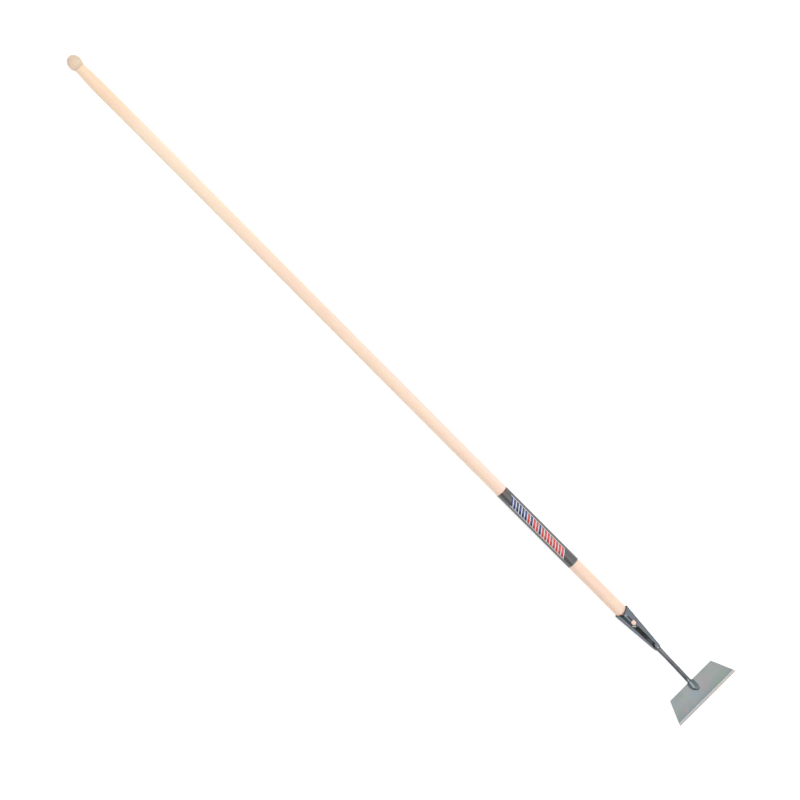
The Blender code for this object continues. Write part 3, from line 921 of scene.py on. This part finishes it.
def handle_wood():
    """Sanded pale ash: faint rings, short pores, broad soft streaks along the grain, with painted shade on
    the -Y side, painted light on the +Y side and painted shade at the socket.
    """
    wood = Surface("handle_wood", (0.97, 0.815, 0.612))
    x, y = wood.x, wood.y
    early, pores, fibre = wood_parts(wood, (0.052, 0.034), 0.0023, 0.01, 2.0)
    wood.tint(x.band(0.0, 1.5), (0.925, 0.7, 0.57))
    broad = wood.noise(1.3, 170, 2, 0.55, shift=(4, 0, 0))
    wood.tint(broad.band(0.42, 0.72), (0.93, 0.67, 0.53))
    patch = wood.noise(26, 130, 2, 0.6, shift=(1, 4, 0))
    wood.tint(patch.band(0.52, 0.66) * 0.6, (0.93, 0.655, 0.555))
    wood.tint(patch.band(0.48, 0.34) * 0.6, (0.96, 0.765, 0.56))
    fleck = wood.noise(7, 420, 3, 0.6, shift=(0, 8, 0))
    wood.tint(fleck.spread(0.0, 0.45), (0.86, 0.64, 0.485))
    wood.tint(early.spread(0.0, 0.3), (0.8, 0.56, 0.4))
    wood.tint(fibre.spread(0.0, 0.2), (0.89, 0.66, 0.5))
    wood.tint(pores * 0.5, (0.52, 0.33, 0.21))
    # Painted shade: darker streaks on the -Y side, away from the light, stronger towards the socket.
    side_streak = wood.noise(2.6, 300, 2, 0.6, shift=(9, 2, 0))
    shaded_side = y.band(0.001, -0.007) * side_streak.band(0.34, 0.6)
    wood.tint(shaded_side * (x.band(0.9, 1.5) * 0.3 + 0.06), (0.72, 0.49, 0.375))
    wood.tint(x.band(0.75, 0.3) * x.band(0.08, 0.26) * 0.22, (1.0, 0.9, 0.69))
    wood.tint(x.band(0.2, 0.08) * 0.25, (0.93, 0.6, 0.335))
    # Painted light: a paler tone on the +Y side, where the light falls, along the middle of the shaft.
    lit_side = y.band(0.002, 0.009) * x.band(0.5, 1.0) * x.band(1.42, 1.23)
    wood.tint(lit_side * 0.35, (0.93, 0.86, 0.8))
    # Painted shade and painted light on the wood at the socket.
    shade_and_light_at_socket(wood)
    return wood.finish(fibre.spread(0.48, 0.66), fibre * 0.5 - pores, 0.00006)


def knob_wood():
    """Sanded wood of another stick: greyer, with rings that show as arcs on the end grain, and painted shade
    towards the joint.
    """
    wood = Surface("knob_wood", (0.845, 0.665, 0.485))
    early, pores, fibre = wood_parts(wood, (0.0095, -0.006), 0.0017, 0.002, 6.0)
    mottle = wood.noise(120, 160, 3, 0.6, shift=(1, 0, 0))
    wood.tint(mottle.band(0.35, 0.68), (0.78, 0.625, 0.45))
    patches = wood.noise(75, 85, 1, shift=(3, 1, 0))
    wood.tint(patches.band(0.5, 0.64) * 0.55, (0.86, 0.6, 0.48))
    wood.tint(patches.band(0.48, 0.36) * 0.55, (0.69, 0.6, 0.48))
    tip = wood.x.band(0.004, -0.0165)
    joint = wood.x.band(0.003, 0.0105)
    wood.tint(tip * 0.36, (0.72, 0.59, 0.47))
    # Painted shade: darker towards the crease at the joint with the handle.
    wood.tint(joint * 0.45, (0.66, 0.52, 0.45))
    wood.tint(early * 0.3, (0.58, 0.43, 0.29))
    wood.tint(fibre.spread(0.0, 0.2), (0.6, 0.46, 0.33))
    speck = wood.noise(1500, 2600, 1, shift=(0, 5, 0))
    end_pores = speck.band(0.6, 0.7) * tip.spread(0.1, 0.8)
    marks = wood.math("MAXIMUM", pores * 0.5, end_pores)
    wood.tint(marks * 0.5, (0.36, 0.25, 0.16))
    turning = wood.noise(2400, 60, 1)
    return wood.finish(mottle.spread(0.52, 0.72), turning * 0.35 - marks, 0.00007)


def printed_film():
    """Dark glossy film with a generic print of slanted bars between two thin lines."""
    film = Surface("printed_film", (0.084, 0.08, 0.08))
    along = film.x - SLEEVE_START
    across = film.math("ARCTAN2", film.y, film.z) * SLEEVE_RADIUS
    away = abs(across)
    slanted = across * PRINT_SLANT + along
    share = film.math("FRACT", slanted / PRINT_PITCH)
    number = film.math("FLOOR", slanted / PRINT_PITCH)
    wear_and_sheen = film.noise(60, 300, 4, 0.65)
    film.tint(wear_and_sheen.spread(0.0, 0.5), (0.104, 0.1, 0.099))
    half = PRINT_HALF_HEIGHT
    panel = number.between(2.5, 21.5) * away.band(half + PRINT_SOFTNESS, half - PRINT_SOFTNESS, False)
    mixed = number.between(8.5, 14.5) * film.math("MODULO", number, 2.0)
    red_share = abs(number.band(11.4, 11.6, False) - mixed)
    ink = film.blend(red_share, (0.022, 0.045, 0.19), (0.68, 0.052, 0.044))
    rub_and_sheen = film.noise(500, 500, 2, 0.6, shift=(3, 0, 0))
    film.tint(panel * share.between(0.04, 0.66) * rub_and_sheen.spread(0.82, 1.0), ink)
    film.tint(panel * share.between(0.73, 0.97) * rub_and_sheen.spread(0.8, 1.0), (0.88, 0.88, 0.9))
    lines = away.between(*LINES_FROM_MIDDLE, PRINT_SOFTNESS) * slanted.between(*LINES_ALONG, PRINT_SOFTNESS)
    film.tint(lines * 0.9, (0.8, 0.8, 0.82))
    near_end = along.band(0.0066, 0.0008)
    far_end = along.band(SLEEVE_LENGTH - 0.0026, SLEEVE_LENGTH - 0.0012)
    film.tint(near_end * 0.85, (0.125, 0.062, 0.04))
    film.tint(far_end * 0.8, (0.31, 0.34, 0.325))
    film.set("Specular IOR Level", 0.75)
    crinkle = film.noise(90, 200, 3, 0.55, shift=(0, 2, 0))
    return film.finish(wear_and_sheen.spread(0.15, 0.26), crinkle, 0.00012, 0.5)


def lacquered_steel(name, tone, darker, speck_share, hue_share):
    """Dark blue-grey steel under a thin clear lacquer, with its roughness and the height of its bump."""
    steel = Surface(name, tone, 0.9)
    mottle = steel.noise(70, 120, 4, 0.6)
    hue = steel.noise(105, 120, 1, shift=(5, 0, 0))
    drawn = steel.noise(30, 1400, 3, 0.6)
    steel.tint(mottle.band(0.3, 0.72), darker)
    steel.tint(hue.band(0.53, 0.66) * hue_share, (0.225, 0.18, 0.25))
    steel.tint(hue.band(0.47, 0.34) * hue_share, (0.125, 0.2, 0.235))
    steel.tint(drawn.spread(0.0, 0.25), (0.12, 0.13, 0.145))
    speck = steel.noise(900, 900, 2, shift=(0, 7, 0))
    steel.tint(speck.band(0.66, 0.74) * speck_share, (0.055, 0.055, 0.06))
    steel.set("Specular Tint", (0.28, 0.3, 0.33))
    steel.set("Coat Weight", 0.1)
    steel.set("Coat Roughness", 0.18)
    return steel, mottle.spread(0.27, 0.4), drawn * 0.4 + mottle


def socket_steel():
    """Outside of the rolled socket, with a dark line along the rim and a painted highlight on a small place
    behind it.
    """
    steel, roughness, height = lacquered_steel("socket_steel", (0.212, 0.23, 0.25),
                                               (0.178, 0.197, 0.217), 0.5, 0.85)
    rim_line = distance_past_rim(steel).band(0.0022, 0.0006) * steel.y.band(-0.003, 0.002)
    steel.tint(rim_line * 0.75, (0.06, 0.078, 0.1))
    # Painted highlight: a small light place behind the rim, near the seam.
    steel.tint(spot(steel, 0.0098, 0.0012, 0.001, 0.0036) * 0.62, (0.4, 0.44, 0.48))
    return steel.finish(roughness, height, 0.00009, 0.5)


def inner_steel():
    """Inside of the socket: bare scale and dust, nearly black, and greyer in the tip."""
    steel = Surface("socket_inside", (0.072, 0.075, 0.078), 0.35)
    scale = steel.noise(180, 260, 4, 0.65)
    steel.tint(scale.band(0.35, 0.7), (0.125, 0.122, 0.108))
    steel.tint((steel.x - MOUTH).band(0.074, 0.09), (0.25, 0.262, 0.278))
    return steel.finish(0.72, scale, 0.00015)


def neck_steel():
    """The neck, with a painted highlight along the foot's ridge, painted light near the socket and painted
    shade on the bar inside the socket.
    """
    steel, _, height = lacquered_steel("neck_steel", (0.182, 0.19, 0.2), (0.138, 0.146, 0.156), 0.7, 0.35)
    from_mouth = steel.x - MOUTH
    on_foot = from_mouth.band(0.1985, 0.204)
    sheen_near_socket = from_mouth.band(0.152, 0.122)
    shade_in_socket = from_mouth.band(0.1042, 0.1032)
    steel.tint(on_foot * 0.7, (0.132, 0.168, 0.182))
    steel.tint(on_foot * steel.y.band(-0.0042, -0.0062) * 0.8, (0.205, 0.252, 0.268))
    # Painted reflection: the bar lighter near the socket.
    steel.tint(sheen_near_socket * 0.55, (0.218, 0.222, 0.23))
    # Painted shade: the bar darker inside the socket.
    steel.tint(shade_in_socket * 0.8, (0.14, 0.146, 0.155))
    # Painted highlight along the foot's ridge, broken up by noise that also sets the roughness.
    ridge = steel.add("Attribute", {}, "Fac", attribute_name="ridge_highlight")
    rub_and_sheen = steel.noise(500, 900, 3, 0.6, shift=(0, 1, 0))
    steel.tint(ridge * rub_and_sheen.spread(0.6, 1.15), (0.56, 0.62, 0.64))
    return steel.finish(on_foot * 0.14 + rub_and_sheen.spread(0.27, 0.4), height, 0.00009, 0.5)


def weld_steel():
    """Weld metal, slightly rougher than the sheet, with one painted highlight spot on the seam side."""
    steel = Surface("weld_steel", (0.215, 0.215, 0.215), 0.85)
    scale = steel.noise(420, 420, 3, 0.6)
    steel.tint(scale.band(0.34, 0.68), (0.15, 0.152, 0.158))
    # Painted highlight: a small bright spot on the seam side.
    steel.tint(spot(steel, 0.1065, 0.0008, 0.0008, 0.0016), (0.62, 0.61, 0.6))
    return steel.finish(scale.spread(0.36, 0.58), scale, 0.00012)


def tack_highlight_steel():
    """Weld metal, ground a little, painted nearly white as a painted highlight along the bead."""
    # Painted highlight: the near white tone stands in for light along the bead.
    steel = Surface("tack_highlight_steel", (0.84, 0.81, 0.795), 0.35)
    scale = steel.noise(700, 700, 2, 0.6)
    steel.tint(scale.band(0.34, 0.68), (0.66, 0.635, 0.62))
    return steel.finish(scale.spread(0.34, 0.52), scale, 0.00008)


def blade_depth(steel, seat, heading):
    """Distance on the blade from its back edge."""
    along = (cos(heading), 0.0, sin(heading))
    start = sum(a * b for a, b in zip(seat, along)) - FOOT_INSET
    return steel.add("VectorMath", {0: steel.place, 1: along}, "Value", operation="DOT_PRODUCT") - start


def cloud(steel, depth, middle_y, middle_depth, radius):
    """1 in the middle of a soft round cloud on the blade, 0 beyond its radius."""
    reach = apart(steel.y - middle_y, depth - middle_depth)
    drift = steel.noise(70, 70, 1, shift=(middle_y * 90, 1, 0))
    return (drift * (0.8 * radius) + reach).band(1.4 * radius, 0.4 * radius)


def blade_steel(seat, heading):
    """Smooth satin plate with faint rolling lines along its width and soft clouds."""
    steel = Surface("plate_steel", (0.39, 0.415, 0.41), 0.9)
    depth = blade_depth(steel, seat, heading)
    mottle = steel.noise(34, 22, 3, 0.55, z=34)
    rolled = steel.noise(1500, 18, 3, 0.6, z=1500)
    watery = steel.noise(30, 24, 1, shift=(2, 6, 0), z=30)
    steel.tint(mottle.band(0.32, 0.7), (0.352, 0.382, 0.378))
    steel.tint(watery.band(0.52, 0.64) * 0.55, (0.34, 0.395, 0.425))
    steel.tint(watery.band(0.46, 0.34) * 0.55, (0.345, 0.395, 0.36))
    steel.tint(abs(steel.y).band(0.055, 0.015) * 0.5, (0.44, 0.458, 0.462))
    steel.tint(depth.band(0.02, 0.044) * 0.75, (0.308, 0.352, 0.34))
    steel.tint(rolled.spread(0.0, 0.3), (0.31, 0.33, 0.326))
    rosy = (0.43, 0.365, 0.395)
    blue = (0.325, 0.395, 0.44)
    mossy = (0.3, 0.395, 0.33)
    for middle_y, middle_depth, radius, share, colour in (
            (0.022, 0.017, 0.022, 0.55, rosy), (0.012, 0.034, 0.012, 0.55, rosy),
            (-0.048, 0.041, 0.01, 0.8, rosy), (-0.024, 0.04, 0.012, 0.6, rosy),
            (-0.012, 0.028, 0.02, 0.7, blue), (-0.058, 0.012, 0.016, 0.6, blue),
            (0.058, 0.034, 0.009, 0.9, mossy), (0.038, 0.041, 0.01, 0.9, mossy),
            (-0.036, 0.006, 0.01, 0.8, mossy), (0.034, 0.003, 0.012, 0.7, mossy)):
        steel.tint(cloud(steel, depth, middle_y, middle_depth, radius) * share, colour)
    patchy = steel.noise(40, 55, 1, shift=(5, 2, 0), z=40)
    heat = steel.blend(patchy.band(0.42, 0.58), (0.255, 0.325, 0.375), (0.27, 0.345, 0.31))
    steel.tint(depth.band(0.0395, 0.0455) * patchy.spread(0.25, 0.95), heat)
    speck = steel.noise(1200, 1200, 1, shift=(0, 3, 0))
    steel.tint(speck.band(0.68, 0.76) * 0.3, (0.18, 0.18, 0.18))
    blue_edge = depth.band(0.0016, 0.0008) * steel.y.band(-0.008, -0.013)
    steel.tint(blue_edge * 0.7, (0.21, 0.29, 0.35))
    return steel.finish(mottle.spread(0.34, 0.46), rolled * 0.25 + mottle, 0.00012, 0.5)


def bevel_steel(seat, heading):
    """Ground bevel, with fine grinding lines down to the edge and a warm tone along the edge."""
    steel = Surface("bevel_steel", (0.3, 0.328, 0.328), 0.92)
    depth = blade_depth(steel, seat, heading)
    lines = steel.noise(60, 2600, 2, 0.6, z=60)
    patches = steel.noise(40, 30, 2, shift=(0, 4, 0), z=40)
    steel.tint(lines.band(0.3, 0.72), (0.256, 0.288, 0.292))
    warm = steel.blend(patches.band(0.36, 0.62), (0.37, 0.268, 0.226), (0.33, 0.276, 0.256))
    warm = steel.blend(steel.y.band(0.01, -0.01), warm, (0.272, 0.248, 0.242))
    steel.tint(depth.band(BLADE_DEPTH - 0.0034, BLADE_DEPTH - 0.0016), warm)
    return steel.finish(lines.spread(0.28, 0.42), lines, 0.00004)


def edge_steel():
    """The narrow face of the cutting edge, bright with a trace of warm colour."""
    steel = Surface("edge_steel", (0.49, 0.375, 0.31), 0.9)
    flecks = steel.noise(300, 220, 3, 0.6, z=300)
    steel.tint(flecks.band(0.3, 0.7), (0.38, 0.305, 0.26))
    steel.tint(steel.y.band(0.01, -0.01), (0.33, 0.29, 0.275))
    return steel.finish(flecks.spread(0.26, 0.42))


# Stage

def floor():
    """Pale floor that reads as white and keeps the hoe's soft shadow."""
    half = 40.0
    mesh = bpy.data.meshes.new("floor")
    mesh.from_pydata([(-half, -half, 0.0), (half, -half, 0.0), (half, half, 0.0), (-half, half, 0.0)],
                     [], [(0, 1, 2, 3)])
    ground = bpy.data.objects.new("floor", mesh)
    bpy.context.scene.collection.objects.link(ground)
    paper = Surface("floor", (0.64, 0.64, 0.64))
    seen = paper.add("LightPath", {}, "Is Camera Ray")
    for kind in ("Is Glossy Ray", "Is Transmission Ray"):
        seen = paper.math("MAXIMUM", seen, paper.add("LightPath", {}, kind))
    paper.set("Specular IOR Level", 0.0)
    paper.set("Emission Color", (1.0, 1.0, 1.0))
    paper.set("Emission Strength", seen * 0.6)
    mesh.materials.append(paper.finish(1.0))


def studio():
    """A bright ceiling with a brighter strip, a bright wall low on the -Y side, a dark gap between.

    Leans are in degrees from the top towards -Y.
    """
    world = bpy.data.worlds.new("studio")
    bpy.context.scene.world = world
    world.use_nodes = True
    sky = Nodes(world.node_tree, "Generated")
    lean = sky.math("ARCTAN2", sky.y * -1.0, sky.z) * degrees(1.0)
    gap = lean.band(14.0, 24.0) * lean.band(76.0, 62.0)
    level = lean.band(-75.0, -55.0) * 0.23 + 0.92 + lean.band(62.0, 76.0) * 0.3
    strip = lean.band(-32.0, -16.0) * lean.band(14.0, 4.0)
    strip *= sky.x.band(-0.1, 0.06) * sky.x.band(0.6, 0.4)
    background = world.node_tree.nodes["Background"]
    sky.put(background.inputs["Strength"], level * (1.0 - gap * 0.93) + strip * 0.4)
    sky.put(background.inputs["Color"], (1.0, 1.0, 1.0))
    world.cycles.sampling_method = "MANUAL"
    world.cycles.sample_map_resolution = 512


def lamp(name, energy, angle, direction):
    """A wide soft lamp that shines from a direction."""
    light = bpy.data.objects.new(name, bpy.data.lights.new(name, "SUN"))
    bpy.context.scene.collection.objects.link(light)
    light.data.energy = energy
    light.data.angle = radians(angle)
    light.rotation_euler = Vector(direction).to_track_quat("Z", "Y").to_euler()
    return light


def lamps():
    """A soft lamp nearly overhead, and a wide fill low on the -Y side that steel doesn't mirror."""
    lamp("key", 0.34, 28.0, (-0.1, 0.1, 1.0))
    fill = lamp("fill", 0.6, 60.0, (0.0, -0.85, 0.53))
    fill.visible_glossy = False


def camera():
    """Camera far above the hoe, leaning a little to the knob's side, as in the photograph."""
    target = Vector((0.9432, -0.0152, 0.0))
    tilt = Matrix.Rotation(radians(-10.0), 4, "Y")
    roll = Matrix.Rotation(radians(45.09), 4, "Z")
    away = Matrix.Translation((0.0, 0.0, 12.0))
    eye = bpy.data.objects.new("camera", bpy.data.cameras.new("camera"))
    bpy.context.scene.collection.objects.link(eye)
    eye.matrix_world = TOOL @ Matrix.Translation(target) @ tilt @ roll @ away
    eye.data.sensor_width = 36.0
    eye.data.lens = 268.5
    eye.data.clip_start = 0.1
    eye.data.clip_end = 100.0
    bpy.context.scene.camera = eye


def dress():
    """Make every piece with its surface."""
    knob_piece(knob_wood())
    handle_piece(handle_wood())
    sleeve_piece(printed_film())
    socket_piece(socket_steel(), inner_steel())
    seat, heading = neck_piece(neck_steel())
    tip_weld_piece(weld_steel())
    seam_tack_piece(tack_highlight_steel())
    blade_piece(seat, heading, [blade_steel(seat, heading), bevel_steel(seat, heading), edge_steel()])


camera()
dress()
floor()
studio()
lamps()
bpy.context.scene.view_settings.view_transform = "Standard"
